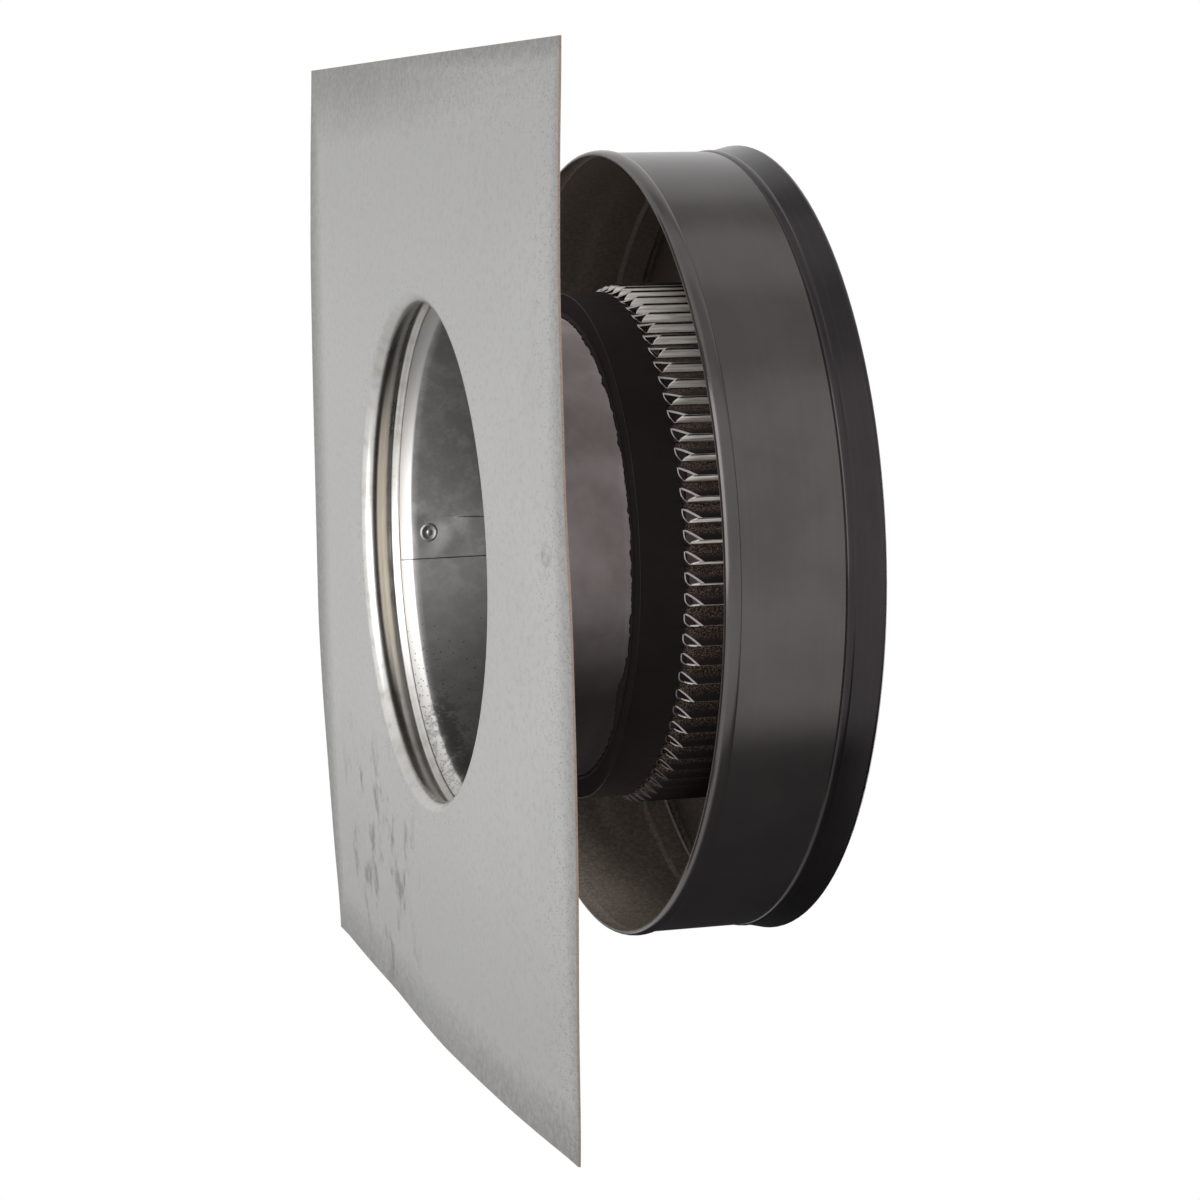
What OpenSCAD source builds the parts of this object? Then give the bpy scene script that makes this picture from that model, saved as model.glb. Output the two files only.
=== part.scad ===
/* [Base flange] */
// Side length of the square base flange
flange_side = 406.4; // [380:0.4:480]
// Sheet thickness of the flange and of the neck drawn from it
flange_t = 0.9; // [0.7:0.1:1.3]
// Height of the drawn neck, up to the joint with the collar
neck_h = 17.4; // [14:0.1:24]
// How far the neck opens outside the throat radius at the joint
neck_reach = 4.7; // [4:0.1:6.5]
// Depth of the channel rolled outwards near the top of the neck
neck_bead = 2.4; // [1:0.1:4]

/* [Collar] */
// Inner radius of the collar just above its flared lower end
throat_r = 103.5; // [101:0.5:112]
// How much smaller than the drum the collar is at its top, as a radius
collar_step = 9.5; // [8.5:0.1:14]
// Sheet thickness of the collar
collar_t = 0.8; // [0.6:0.1:1.1]
// Height of the flared lower end of the collar
flare_h = 4.8; // [4:0.2:7]
// Width of the lap seam that closes the collar
lap_w = 18; // [14:1:26]
// Head diameter of the rivet in the lap seam
seam_head_d = 7.6; // [6:0.2:9]

/* [Base ring] */
// Height of the underside of the drum's base ring above the flange underside
ring_z = 62.4; // [55:0.1:80]
// Sheet thickness of the base ring and of the top ring
ring_t = 0.8; // [0.6:0.1:1]
// Height of the turned up lips of the base ring
ring_lip = 9; // [8:0.5:12]
// Width of the sealant fillet below the base ring
seal_w = 2.2; // [1.2:0.1:3]

/* [Louvre drum] */
// Outer radius of the plain bands of the drum
drum_r = 105.8; // [103.5:0.1:112]
// Sheet thickness of the drum
drum_t = 0.6; // [0.5:0.1:0.8]
// Number of louvre blades round the drum
louvre_n = 80; // [60:1:88]
// How far the blade tips stand out of the plain bands
louvre_out = 2.95; // [2:0.05:4]
// How far the blade roots dip inside the plain bands
louvre_in = 1.2; // [0.9:0.1:1.6]
// Width of the slit between one blade's fold and the next blade's root
louvre_slit = 0.8; // [0.5:0.1:1.2]
// Height of the plain band below the louvres
band_low = 18.4; // [15:0.1:24]
// Length of the louvre blades
louvre_len = 48; // [30:1:60]
// Height of the plain band above the louvres
band_top = 15.1; // [15:0.1:24]
// Length of the sloped end of each blade, from its foot to its tip
louvre_ramp = 4.7; // [2.5:0.1:6]

/* [Hood skirt] */
// Outer radius of the hood skirt
hood_r = 163.2; // [150:0.2:195]
// Sheet thickness of the skirt and the cap
hood_t = 0.6; // [0.5:0.1:0.9]
// Height of the skirt below the joint line with the cap
skirt_h = 48.4; // [36:0.2:60]
// Axial width of the half-round bead at the skirt's rim
rim_bead_w = 6.8; // [5:0.2:10]
// How far that bead stands out of the skirt
rim_bead_out = 1.2; // [0.6:0.1:2]

/* [Cap] */
// Height of the cap's side wall, from the joint line to the top of its roll
cap_h = 16.6; // [14:0.2:24]
// Radius of the rolled corner of the cap
cap_roll = 2.3; // [1.6:0.1:3]
// How much lower the rolled corner is than the flat panel of the cap
cap_fall = 2.7; // [1:0.1:6]
// Number of rivets that hold the cap to the drum
cap_rivet_n = 6; // [4:1:10]
// Head diameter of the rivets in the cap
cap_head_d = 8.6; // [7:0.2:10]

/* [Hidden] */

$fn = 144;
gap = 0.3;
over = 1;

lip_r = throat_r - 0.3;
lip_w = 6.6;
lip_h = 4.4;
lip_steps = 10;
neck_r = throat_r + neck_reach;
neck_steps = 28;
neck_skew = 2;
flare_z = neck_h + flare_h;
cone_top_z = ring_z - 2.5;
collar_top_z = ring_z + ring_lip + 2.5;
collar_top_r = drum_r - collar_step;
collar_top_in = collar_top_r - collar_t;
collar_fall = (throat_r - collar_top_in) / (cone_top_z - flare_z);
collar_tilt = atan(collar_fall);
lap_angle = -3.1;
lap_low_z = flare_z + 0.4;
seam_angle = -1.1;
seam_z = [flare_z + 6.8];

shank_r = 1.6;
shank_d = 2 * shank_r;
head_h = 1.3;
head_chamfer = 0.5;
mandrel_r = 1.7;
mandrel_h = 0.7;
tail_r = 2.8;
tail_h = 1.6;
small_head_d = 6.4;

ring_in_r = collar_top_r + gap;
ring_out_r = drum_r - drum_t - gap;
base_rivet_n = 4;
base_rivet_z = ring_z + ring_lip / 2 + 0.8;
seam_side = 0;

drum_top_z = ring_z + band_low + louvre_len + band_top;
louvre_z0 = ring_z + band_low;
pitch_deg = 360 / louvre_n;
louvre_turn = -1.4;
root_r = drum_r - louvre_in;
tip_r = drum_r + louvre_out;
pitch_w = 2 * PI * root_r / louvre_n;
fold_lean = 0.75;
web_w = 0.3 * pitch_w;
web_rise = 0.6 * (louvre_in + 0.2);
tip_w = pitch_w - louvre_slit - fold_lean;
fold_t = drum_t * 1.1;
ramp_r = root_r + 0.1;
tab_w = web_w;
tab_side = 0.25;
tab_depth = louvre_in + 1.5 * drum_t;
drum_rivet_z = [ring_z + ring_lip / 2, drum_top_z - ring_lip / 2 - 0.5];

panel_r = drum_r + 6.2;
top_ring_in_r = drum_r - 21.8;
panel_z = drum_top_z + gap;
roll_top_z = panel_z + hood_t - cap_fall;
joint_z = roll_top_z - cap_h;
roll_z = roll_top_z - cap_roll;
roll_out_r = hood_r + 2.4;
roll_c_r = roll_out_r - cap_roll;
shoulder_r = roll_c_r - 1;
rim_z = joint_z - skirt_h;
joggle = 1.3;
joggle_h = 1.6;
neckdown_r = hood_r - joggle;
skirt_top_z = joint_z + cap_h - cap_roll - 2.6;
cap_edge_gap = 0.35;
cap_bead_w = 3.6;
cap_bead_out = 0.75;
cap_foot_r = neckdown_r + gap + hood_t + 0.1;
cap_rivet_r = drum_r - 9.3;
skirt_lap_w = 16;
skirt_rivet_z = [rim_z + rim_bead_w + 8, joint_z - 7];
roll_steps = 10;
wall_steps = 8;
bead_steps = 14;

// Radius of the neck's inner face at share s of its height: a soft S with a channel on it
function neck_in(s) = lip_r + (neck_r - lip_r) * s * s * (3 - 2 * s)
    + neck_bead * (0.5 - 0.5 * cos(360 * pow(s, neck_skew)));

// A point of the neck's wall at share s of its height, set off outwards by t
function neck_point(s, t) = [neck_in(s) + t, lip_h + s * (neck_h - lip_h)];

// A point of the lip's soft quarter-oval at angle a, set off upwards by t
function lip_point(a, t) = [lip_r + lip_w - (lip_w - t) * sin(a), lip_h - (lip_h - t) * cos(a)];

// Thin blind rivet along +Z: head below zero, grip upwards, tail above the grip
module rivet(grip, head_d) {
    head_r = head_d / 2;
    difference() {
        union() {
            translate([0, 0, -gap - head_h + head_chamfer])
                cylinder(h = head_h - head_chamfer, r = head_r, $fn = 48);
            translate([0, 0, -gap - head_h])
                cylinder(h = head_chamfer, r1 = head_r - 2 * head_chamfer, r2 = head_r, $fn = 48);
            translate([0, 0, -gap - head_h / 2])
                cylinder(h = grip + 2 * gap + head_h, r = shank_r, $fn = 32);
            translate([0, 0, grip + gap])
                cylinder(h = tail_h, r = tail_r, $fn = 32);
        }
        translate([0, 0, -gap - head_h - over])
            cylinder(h = mandrel_h + over, r = mandrel_r, $fn = 32);
    }
}

// Places a child whose +Z becomes the outward radial direction at radius r, height z and angle a
module radial(r, z, a, tilt = 0) {
    rotate([0, 0, a])
        translate([r, 0, z])
            rotate([0, 90 - tilt, 0])
                children();
}

// Hole for a rivet shank, centred on the origin and running both ways
module shank_hole(reach) {
    translate([0, 0, -reach])
        cylinder(h = 2 * reach, r = shank_r + gap, $fn = 32);
}

// Thin tube with its foot on z
module tube(r_out, t, z, h) {
    translate([0, 0, z])
        difference() {
            cylinder(h = h, r = r_out);
            translate([0, 0, -over])
                cylinder(h = h + 2 * over, r = r_out - t);
        }
}

// Square sheet with the hole's rounded lip and the beaded neck drawn upwards
module flange() {
    color([0.72, 0.72, 0.71])
        union() {
            difference() {
                translate([-flange_side / 2, -flange_side / 2, 0])
                    cube([flange_side, flange_side, flange_t]);
                translate([0, 0, -over])
                    cylinder(h = flange_t + 2 * over, r = lip_r + lip_w);
            }
            rotate_extrude()
                polygon(concat(
                    [[lip_r + lip_w + over / 2, 0]],
                    [for (i = [0 : lip_steps]) lip_point(i * 90 / lip_steps, 0)],
                    [for (i = [1 : neck_steps]) neck_point(i / neck_steps, 0)],
                    [for (i = [neck_steps : -1 : 1]) neck_point(i / neck_steps, flange_t)],
                    [for (i = [lip_steps : -1 : 0]) lip_point(i * 90 / lip_steps, flange_t)],
                    [[lip_r + lip_w + over / 2, flange_t]]
                ));
        }
}

// Tapered tube rolled from sheet, flared at the foot and lapped along one side
module collar() {
    color([0.30, 0.29, 0.28])
        difference() {
            union() {
                rotate_extrude()
                    polygon(collar_wall(0, collar_t));
                intersection() {
                    rotate_extrude()
                        polygon(lap_wall());
                    rotate([0, 0, lap_angle])
                        translate([0, -lap_w / 2, 0])
                            cube([2 * throat_r, lap_w, collar_top_z]);
                }
            }
            for (z = seam_z)
                radial(wall_in(z), z, seam_angle, collar_tilt)
                    shank_hole(4);
            for (i = [0 : base_rivet_n - 1])
                radial(collar_top_in, base_rivet_z, 45 + i * 360 / base_rivet_n)
                    shank_hole(4);
        }
}

// Inner radius of the tapered wall at height z
function wall_in(z) = throat_r - (z - flare_z) * collar_fall;

// Section of the collar from the flared foot to the plain top
function collar_wall(in, t) = [
    [neck_r - in - 0.2, neck_h + gap],
    [throat_r - in, flare_z],
    [collar_top_in - in, cone_top_z],
    [collar_top_in - in, collar_top_z],
    [collar_top_in + t, collar_top_z],
    [collar_top_in + t, cone_top_z],
    [throat_r + t, flare_z],
    [neck_r + flange_t + 0.3, neck_h + gap],
];

// Section of the second sheet layer on the inside of the lap seam
function lap_wall() = [
    [wall_in(lap_low_z) - collar_t, lap_low_z],
    [collar_top_in - collar_t, cone_top_z],
    [collar_top_in - collar_t, ring_z - 0.5],
    [collar_top_in + collar_t / 2, ring_z - 0.5],
    [collar_top_in + collar_t / 2, cone_top_z],
    [wall_in(lap_low_z) + collar_t / 2, lap_low_z],
];

// Rivet through the foot of the lap seam, head inside the throat
module collar_rivet() {
    color([0.75, 0.75, 0.74])
        for (z = seam_z)
            radial(wall_in(z) - collar_t, z, seam_angle, collar_tilt)
                rivet(2 * collar_t + 0.1, seam_head_d);
}

// Fillet of sealant in the corner between the collar and the base ring
module sealant() {
    color([0.05, 0.05, 0.05])
        rotate_extrude()
            polygon([
                [collar_top_r + gap + 0.1, ring_z - gap],
                [collar_top_r + gap + 0.1, ring_z - gap - seal_w],
                [collar_top_r + gap + 0.45 * seal_w, ring_z - gap - 0.62 * seal_w],
                [collar_top_r + gap + 0.8 * seal_w, ring_z - gap - 0.28 * seal_w],
                [collar_top_r + gap + seal_w, ring_z - gap],
            ]);
}

// Annular plate that carries the drum, with both edges turned up
module base_ring() {
    color([0.16, 0.15, 0.14])
        difference() {
            union() {
                tube(ring_out_r, ring_out_r - ring_in_r, ring_z, ring_t);
                tube(ring_in_r + ring_t, ring_t, ring_z, ring_lip);
                tube(ring_out_r, ring_t, ring_z, ring_lip);
            }
            for (i = [0 : base_rivet_n - 1])
                radial(ring_in_r, base_rivet_z, 45 + i * 360 / base_rivet_n)
                    shank_hole(3);
            radial(ring_out_r, drum_rivet_z[0], seam_side)
                shank_hole(3);
        }
}

// Rivets through the collar top and the inner lip of the base ring
module base_rivets() {
    color([0.75, 0.75, 0.74])
        for (i = [0 : base_rivet_n - 1])
            radial(collar_top_in - 0.1, base_rivet_z, 45 + i * 360 / base_rivet_n)
                rivet(collar_t + ring_t + gap + 0.2, small_head_d);
}

// Section of one blade: web, slope out to the tip, fold back in to the foot
module blade_section() {
    polygon([
        [root_r, 0],
        [root_r + web_rise, web_w],
        [tip_r, tip_w],
        [root_r, tip_w + fold_lean],
        [root_r, tip_w + fold_lean - fold_t],
        [tip_r - 2.2 * drum_t, tip_w - fold_t],
        [root_r + web_rise - drum_t, web_w + 0.25 * drum_t],
        [root_r - drum_t, 0],
    ]);
}

// Wedge that cuts one end of a blade back, more the further out the blade stands
module ramp_cut() {
    translate([ramp_r, -over, 0])
        rotate([0, -atan(louvre_ramp / (tip_r - ramp_r)), 0])
            translate([-2 * louvre_ramp, 0, -3 * louvre_ramp])
                cube([8 * louvre_ramp, pitch_w + 2 * over, 3 * louvre_ramp]);
}

// One blade with its two sloped ends and the tabs that join it to the bands
module blade() {
    difference() {
        linear_extrude(height = louvre_len)
            blade_section();
        ramp_cut();
        translate([0, 0, louvre_len])
            mirror([0, 0, 1])
                ramp_cut();
    }
    for (z = [-over, louvre_len - over])
        translate([drum_r - tab_depth, -tab_side, z])
            cube([tab_depth - drum_t / 3, tab_w + 2 * tab_side, 2 * over]);
}

// Rolled strip drum with a plain band at each end and lanced louvre blades between them
module louvre_drum() {
    color([0.22, 0.20, 0.19])
        difference() {
            union() {
                tube(drum_r, drum_t, ring_z, band_low);
                tube(drum_r, drum_t, louvre_z0 + louvre_len, band_top);
                for (i = [0 : louvre_n - 1])
                    rotate([0, 0, louvre_turn + i * pitch_deg])
                        translate([0, 0, louvre_z0])
                            blade();
            }
            for (z = drum_rivet_z)
                radial(drum_r, z, seam_side)
                    shank_hole(3);
        }
}

// Rivets through the plain bands at the drum's seam, heads outside
module drum_rivets() {
    color([0.30, 0.29, 0.28])
        for (z = drum_rivet_z)
            rotate([0, 0, seam_side])
                translate([drum_r + 0.1, 0, z])
                    rotate([0, -90, 0])
                        rivet(drum_t + ring_t + gap + 0.2, small_head_d);
}

// Ring inside the drum's top, turned in to take the cap's rivets
module top_ring() {
    color([0.16, 0.15, 0.14])
        difference() {
            union() {
                tube(ring_out_r, ring_out_r - top_ring_in_r, drum_top_z - ring_t, ring_t);
                tube(ring_out_r, ring_t, drum_top_z - ring_lip, ring_lip);
            }
            radial(ring_out_r, drum_rivet_z[1], seam_side)
                shank_hole(3);
            for (i = [0 : cap_rivet_n - 1])
                rotate([0, 0, i * 360 / cap_rivet_n])
                    translate([cap_rivet_r, 0, drum_top_z])
                        shank_hole(3);
        }
}

// Share of a half-round bead at share s of its width
function half_round(s) = sqrt(max(0, 1 - (2 * s - 1) * (2 * s - 1)));

// Outer face of the skirt's rim bead, curled slightly under at the rim
function rim_point(s, t) = [hood_r + rim_bead_out * half_round(s) - t - 0.4 * (1 - s) * (1 - s), rim_z + s * rim_bead_w];

// Hood band with the rolled rim bead below and the stepped-in top below the cap
module skirt() {
    color([0.28, 0.26, 0.25])
        difference() {
            union() {
                rotate_extrude()
                    polygon(concat(
                        [for (i = [0 : bead_steps]) rim_point(i / bead_steps, 0)],
                        [
                            [hood_r, joint_z],
                            [neckdown_r, joint_z + joggle_h],
                            [neckdown_r, skirt_top_z],
                            [neckdown_r - hood_t, skirt_top_z],
                            [neckdown_r - hood_t, joint_z + joggle_h],
                            [hood_r - hood_t, joint_z - 0.2],
                        ],
                        [for (i = [bead_steps : -1 : 0]) rim_point(i / bead_steps, hood_t)]
                    ));
                intersection() {
                    tube(hood_r - hood_t / 2, hood_t, rim_z + rim_bead_w + 1, skirt_h - rim_bead_w - 2);
                    rotate([0, 0, seam_side])
                        translate([0, -skirt_lap_w / 2, 0])
                            cube([2 * hood_r, skirt_lap_w, drum_top_z]);
                }
            }
            for (z = skirt_rivet_z)
                radial(hood_r, z, seam_side)
                    shank_hole(3);
        }
}

// Rivets through the skirt's lap seam, heads outside
module skirt_rivets() {
    color([0.28, 0.26, 0.25])
        for (z = skirt_rivet_z)
            rotate([0, 0, seam_side])
                translate([hood_r + 0.1, 0, z])
                    rotate([0, -90, 0])
                        rivet(1.5 * hood_t + 0.3, small_head_d);
}

// Outer face of the cap's side wall at share s, from the joint up to the roll
function cap_wall_r(s) = cap_foot_r + (roll_out_r - cap_foot_r) * pow(s, 1.3);

// Outer face of the small bead at the foot of the cap's wall
function cap_bead_r(z) = z < cap_bead_w ? cap_bead_out * half_round(z / cap_bead_w) : 0;

// A point of the cap's side wall at share s, set off inwards by t
function cap_side(s, t) = [
    cap_wall_r(s) + cap_bead_r(s * (roll_z - joint_z - cap_edge_gap)) - t,
    joint_z + cap_edge_gap + s * (roll_z - joint_z - cap_edge_gap)
];

// A point of the rolled corner at angle a, with radius reduced by t
function cap_corner(a, t) = [roll_c_r + (cap_roll - t) * cos(a), roll_z + (cap_roll - t) * sin(a)];

// Pan-shaped cap: beaded side wall, rolled corner, falling shoulder and flat panel
module cap() {
    wall_n = 4 * wall_steps;
    color([0.26, 0.24, 0.23])
        difference() {
            rotate_extrude()
                polygon(concat(
                    [for (i = [0 : wall_n]) cap_side(i / wall_n, 0)],
                    [for (i = [1 : roll_steps]) cap_corner(i * 90 / roll_steps, 0)],
                    [
                        [shoulder_r, roll_top_z],
                        [panel_r, panel_z + hood_t],
                        [0, panel_z + hood_t],
                        [0, panel_z],
                        [panel_r, panel_z],
                        [shoulder_r, roll_top_z - hood_t],
                    ],
                    [for (i = [roll_steps : -1 : 1]) cap_corner(i * 90 / roll_steps, hood_t)],
                    [for (i = [wall_n : -1 : 0]) cap_side(i / wall_n, hood_t)]
                ));
            for (i = [0 : cap_rivet_n - 1])
                rotate([0, 0, i * 360 / cap_rivet_n])
                    translate([cap_rivet_r, 0, panel_z])
                        shank_hole(3);
        }
}

// Ring of rivets through the cap and the top ring, heads on the weather side
module cap_rivets() {
    color([0.28, 0.26, 0.25])
        for (i = [0 : cap_rivet_n - 1])
            rotate([0, 0, i * 360 / cap_rivet_n])
                translate([cap_rivet_r, 0, panel_z + hood_t])
                    mirror([0, 0, 1])
                        rivet(hood_t + ring_t + gap, cap_head_d);
}

flange();
collar();
collar_rivet();
sealant();
base_ring();
base_rivets();
louvre_drum();
drum_rivets();
top_ring();
skirt();
skirt_rivets();
cap();
cap_rivets();
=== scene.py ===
# %% [markdown]
# # A low round roof vent in spun and rolled sheet
#
# The real object is a square mill-finish flange with a drawn neck, a tapered collar, a drum
# with eighty lanced louvres, and a wide hood. The solids come packed from the CAD, in metres.
# This lesson dresses them: it rebuilds the thin sheets whose small bends and edges show,
# and gives every piece a material made from nodes.

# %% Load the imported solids
import bpy
import bmesh
import numpy as np
from mathutils import Matrix


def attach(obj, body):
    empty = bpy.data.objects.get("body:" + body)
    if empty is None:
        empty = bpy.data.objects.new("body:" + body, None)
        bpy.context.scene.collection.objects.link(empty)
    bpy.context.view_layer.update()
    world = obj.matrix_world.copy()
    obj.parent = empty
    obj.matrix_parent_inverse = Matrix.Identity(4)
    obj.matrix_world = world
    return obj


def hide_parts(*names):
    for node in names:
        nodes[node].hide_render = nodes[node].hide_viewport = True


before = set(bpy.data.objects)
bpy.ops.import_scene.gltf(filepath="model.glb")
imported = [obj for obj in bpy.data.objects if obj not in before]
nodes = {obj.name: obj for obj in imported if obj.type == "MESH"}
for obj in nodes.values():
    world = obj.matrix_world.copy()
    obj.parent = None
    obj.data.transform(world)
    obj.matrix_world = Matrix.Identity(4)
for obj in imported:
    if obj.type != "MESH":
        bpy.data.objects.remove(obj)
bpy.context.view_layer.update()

# %% [markdown]
# ## Camera
#
# The photograph looks at the underside of the flange from the side, with the vent's axis
# lying level. A camera can be aimed by eye, or solved from circles whose size is known.
# The rims of the hole, neck, louvres and hood are circles on one axis, so the camera was
# solved from them, and is written here as three directions and a place.

# %% Camera
MM = 0.001
FRAME_PX = 1200
SENSOR = 36.0
FOCAL_PX = 3308.3747
RIGHT = np.array([-0.2919342, -0.0128756, 0.9563517])
DOWN = np.array([-0.1213228, -0.9913337, -0.0503814])
FORWARD = np.array([0.9487124, -0.1307353, 0.2878421])
CAMERA_AT = np.array([-1.3224686, 0.1587091, -0.3233414])


def make_camera():
    """Places the camera: its columns are right, up and back, and its lens is the focal length
    over the frame's width."""
    data = bpy.data.cameras.new("photo_camera")
    data.sensor_width = SENSOR
    data.lens = FOCAL_PX / FRAME_PX * SENSOR
    data.clip_start = 0.01
    camera = bpy.data.objects.new("photo_camera", data)
    columns = np.column_stack([RIGHT, -DOWN, -FORWARD])
    camera.matrix_world = Matrix(
        [list(columns[i]) + [CAMERA_AT[i]] for i in range(3)] + [[0, 0, 0, 1]]
    )
    bpy.context.scene.collection.objects.link(camera)
    bpy.context.scene.camera = camera
    return camera


camera = make_camera()
print("lens mm:", round(camera.data.lens, 2))

# %% [markdown]
# ## Sheets as grids
#
# Thin sheet metal could be drawn by hand and given a Solidify modifier. Here each sheet is
# worked out as a grid of points instead: one direction runs round the vent's axis, the other
# runs along a profile. A profile that returns to its start makes a closed wall.

# %% Grid helpers
TAU = 2 * np.pi


def mesh_from(name, points, faces, smooth=True):
    """Puts an array of points and an array of four-cornered faces into a new mesh object."""
    mesh = bpy.data.meshes.new(name)
    mesh.from_pydata(np.asarray(points, float).reshape(-1, 3), [], np.asarray(faces).tolist())
    mesh.polygons.foreach_set("use_smooth", np.full(len(mesh.polygons), smooth))
    mesh.update()
    piece = bpy.data.objects.new(name, mesh)
    bpy.context.scene.collection.objects.link(piece)
    return piece


def ring_faces(around, along):
    """Faces of a grid that closes both ways: each joins a point to the next one round and along."""
    i, j = np.meshgrid(np.arange(around), np.arange(along), indexing="ij")
    i2, j2 = (i + 1) % around, (j + 1) % along
    return np.stack([i * along + j, i2 * along + j, i2 * along + j2, i * along + j2], -1).reshape(-1, 4)


def revolve(name, radius, height, angle):
    """Closed wall of revolution: point (r cos a, r sin a, z) for each angle a and each profile
    point. radius and height are one loop in mm, or arrays with a row of the loop for each angle."""
    angle = np.asarray(angle).reshape(-1, 1)
    around = len(angle)
    radius = np.atleast_2d(radius) * np.ones((around, 1)) * MM
    height = np.atleast_2d(height) * np.ones((around, 1)) * MM
    points = np.stack([radius * np.cos(angle), radius * np.sin(angle), height], -1)
    return mesh_from(name, points, ring_faces(around, radius.shape[1]))


def even_angles(around):
    """Evenly spaced angles for one turn."""
    return np.linspace(0, TAU, around, endpoint=False)


print("grid helpers ready")

# %% [markdown]
# ### Curves, masks and edges
#
# Bent sheet eases into its bends, and a smeared edge is ragged. Random points would leave a
# step where the turn closes, so the ragged curve is a sum of waves. A mask stores one number
# at each point, such as where the metal is bare, for a material to read.

# %% Curves, masks and edges


def ease(value, low, high):
    """Smooth step from 0 at low to 1 at high."""
    t = np.clip((value - low) / (high - low), 0, 1)
    return t * t * (3 - 2 * t)


def ragged(angle, seed, waves):
    """Ragged curve round the axis: a sum of sine waves of rising pitch, with falling heights and
    seeded phases, so that it closes on itself."""
    rng = np.random.default_rng(seed)
    phase = rng.uniform(0, TAU, len(waves))
    height = 1.0 / (1 + 0.35 * np.arange(len(waves)))
    return (height * np.sin(np.outer(angle, waves) + phase)).sum(1) / height.sum()


def set_mask(piece, name, values):
    """Stores one number for each point of a piece, for its material to read."""
    layer = piece.data.attributes.new(name, "FLOAT", "POINT")
    layer.data.foreach_set("value", np.asarray(values, np.float32).ravel())


def mark_sharp(piece, degrees=38):
    """Keeps edges that bend by more than the angle sharp, so that thin rims stay crisp."""
    bpy.context.view_layer.objects.active = piece
    piece.select_set(True)
    bpy.ops.object.shade_smooth_by_angle(angle=np.radians(degrees))
    piece.select_set(False)


print("curve helpers ready")

# %% [markdown]
# ## Short names for nodes
#
# Materials here are chains of small nodes. Written out one by one they are long to read, so
# each kind of node gets a short function that takes numbers or sockets and gives a socket.

# %% Node helpers


def link(tree, a, b):
    """Joins an output socket to an input socket."""
    tree.links.new(a, b)


def math_node(tree, operation, a, b=None, clamp=False):
    """A Math node whose inputs are numbers or sockets; gives its output socket."""
    node = tree.nodes.new("ShaderNodeMath")
    node.operation = operation
    node.use_clamp = clamp
    for socket, value in zip(node.inputs, (a, b)):
        if value is None:
            continue
        if isinstance(value, (int, float)):
            socket.default_value = value
        else:
            link(tree, value, socket)
    return node.outputs[0]


def product(tree, first, *others):
    """The product of all the given numbers or sockets."""
    for other in others:
        first = math_node(tree, "MULTIPLY", first, other)
    return first


def largest(tree, first, *others):
    """The largest of all the given numbers or sockets."""
    for other in others:
        first = math_node(tree, "MAXIMUM", first, other)
    return first


def remap(tree, value, low, high, to_low=0.0, to_high=1.0, linear=False):
    """A Map Range from low..high to to_low..to_high, smooth unless linear; gives its output socket."""
    node = tree.nodes.new("ShaderNodeMapRange")
    node.interpolation_type = "LINEAR" if linear else "SMOOTHSTEP"
    link(tree, value, node.inputs["Value"])
    for key, number in (("From Min", low), ("From Max", high), ("To Min", to_low), ("To Max", to_high)):
        node.inputs[key].default_value = number
    return node.outputs[0]


def mix_colour(tree, factor, a, b):
    """Mixes two colours by a socket's value; each of the two may be a colour or a socket."""
    node = tree.nodes.new("ShaderNodeMix")
    node.data_type = "RGBA"
    link(tree, factor, node.inputs["Factor"])
    for socket, value in ((node.inputs[6], a), (node.inputs[7], b)):
        if isinstance(value, tuple):
            socket.default_value = (*value, 1.0)
        else:
            link(tree, value, socket)
    return node.outputs[2]


print("node helpers ready")

# %% [markdown]
# ### Patterns and groups
#
# Noise is the source of every cloud, streak and grain here. A painted picture could give them
# too, but noise has no edge and no fixed size. An effect that several materials use goes into
# a group with named sockets, so these helpers also make a group and place it.

# %% Pattern and group helpers


def noise(tree, vector, scale, detail=4.0, roughness=0.55):
    """A Noise Texture's value at a place."""
    node = tree.nodes.new("ShaderNodeTexNoise")
    node.inputs["Scale"].default_value = scale
    node.inputs["Detail"].default_value = detail
    node.inputs["Roughness"].default_value = roughness
    link(tree, vector, node.inputs["Vector"])
    return node.outputs["Fac"]


def stretched(tree, vector, scale):
    """The same place with each axis scaled by its own number, which draws noise out into lines."""
    node = tree.nodes.new("ShaderNodeMapping")
    node.inputs["Scale"].default_value = scale
    link(tree, vector, node.inputs["Vector"])
    return node.outputs[0]


def new_group(name, inputs, outputs):
    """An empty node group with named sockets, and its input and output nodes."""
    tree = bpy.data.node_groups.new(name, "ShaderNodeTree")
    for title, kind in inputs:
        tree.interface.new_socket(title, in_out="INPUT", socket_type=kind)
    for title, kind in outputs:
        tree.interface.new_socket(title, in_out="OUTPUT", socket_type=kind)
    return tree, tree.nodes.new("NodeGroupInput"), tree.nodes.new("NodeGroupOutput")


def use_group(tree, group, **values):
    """Places a group in a material; values are numbers or sockets for its named inputs."""
    node = tree.nodes.new("ShaderNodeGroup")
    node.node_tree = group
    for key, value in values.items():
        if isinstance(value, (int, float)):
            node.inputs[key].default_value = value
        else:
            link(tree, value, node.inputs[key])
    return node


print("pattern helpers ready")

# %% [markdown]
# ## Node groups for metal
#
# Several finishes share the same small effects: fine specks where the spray drifted, cloudy
# marks, and the lines that rolling leaves. They could be built anew in each material. Here
# each effect is one group of nodes that puts out masks, and a material mixes them as it needs.

# %% Effect groups


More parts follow.
